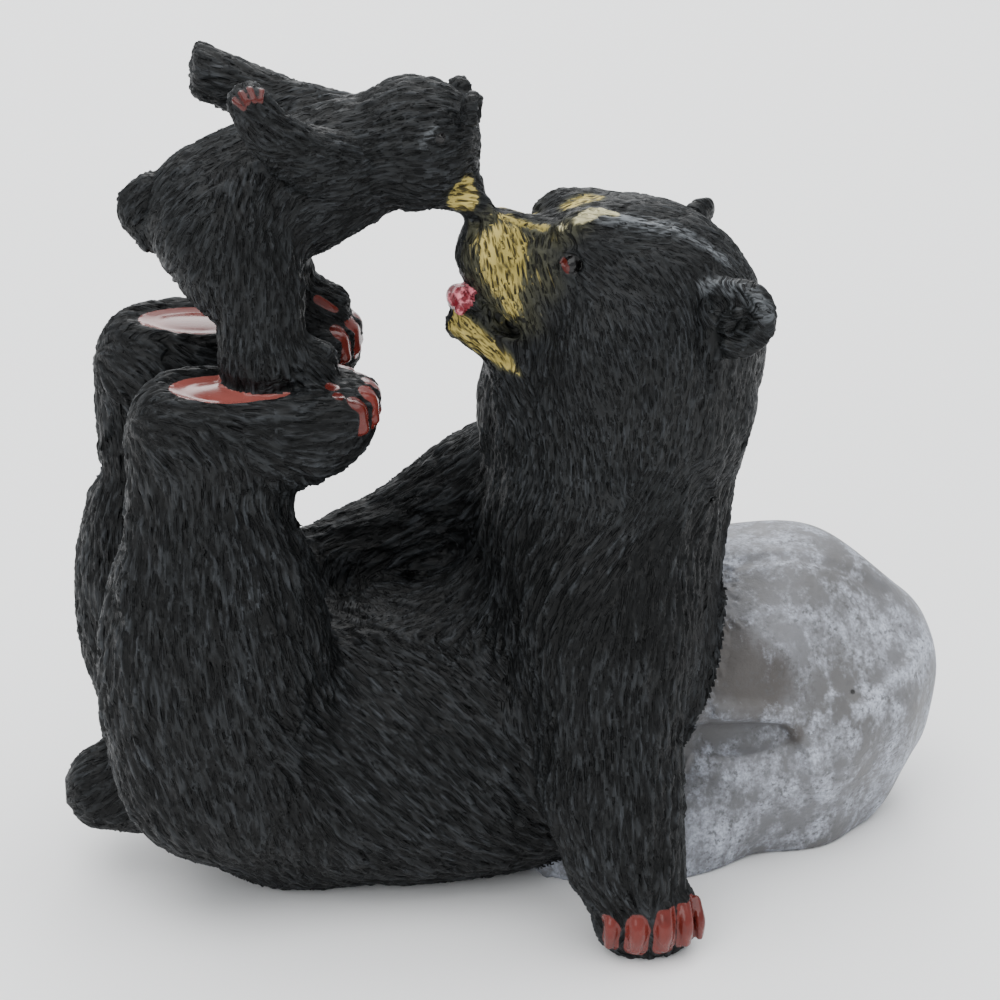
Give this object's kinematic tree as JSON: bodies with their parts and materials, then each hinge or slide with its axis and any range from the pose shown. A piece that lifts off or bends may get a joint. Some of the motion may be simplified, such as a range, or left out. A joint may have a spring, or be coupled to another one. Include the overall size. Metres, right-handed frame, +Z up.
{
  "type": "bear and cub figurine",
  "caption": "Cast resin figurine of a bear lying back against a boulder, holding a cub up on its raised soles, nose to nose.",
  "frame": {"origin": "middle of the footprint, on the surface that the figurine stands on", "axes": "+X from the mother bear's tail to the boulder, +Y from her left side to her right, +Z up"},
  "size_m": [0.183, 0.1002, 0.1744],
  "materials": {
    "painted_resin": "satin black paint dry-brushed with grey, over cast resin"
  },
  "bodies": {
    "root": {"bear_and_cub_figurine": "painted_resin"}
  },
  "joints": []
}
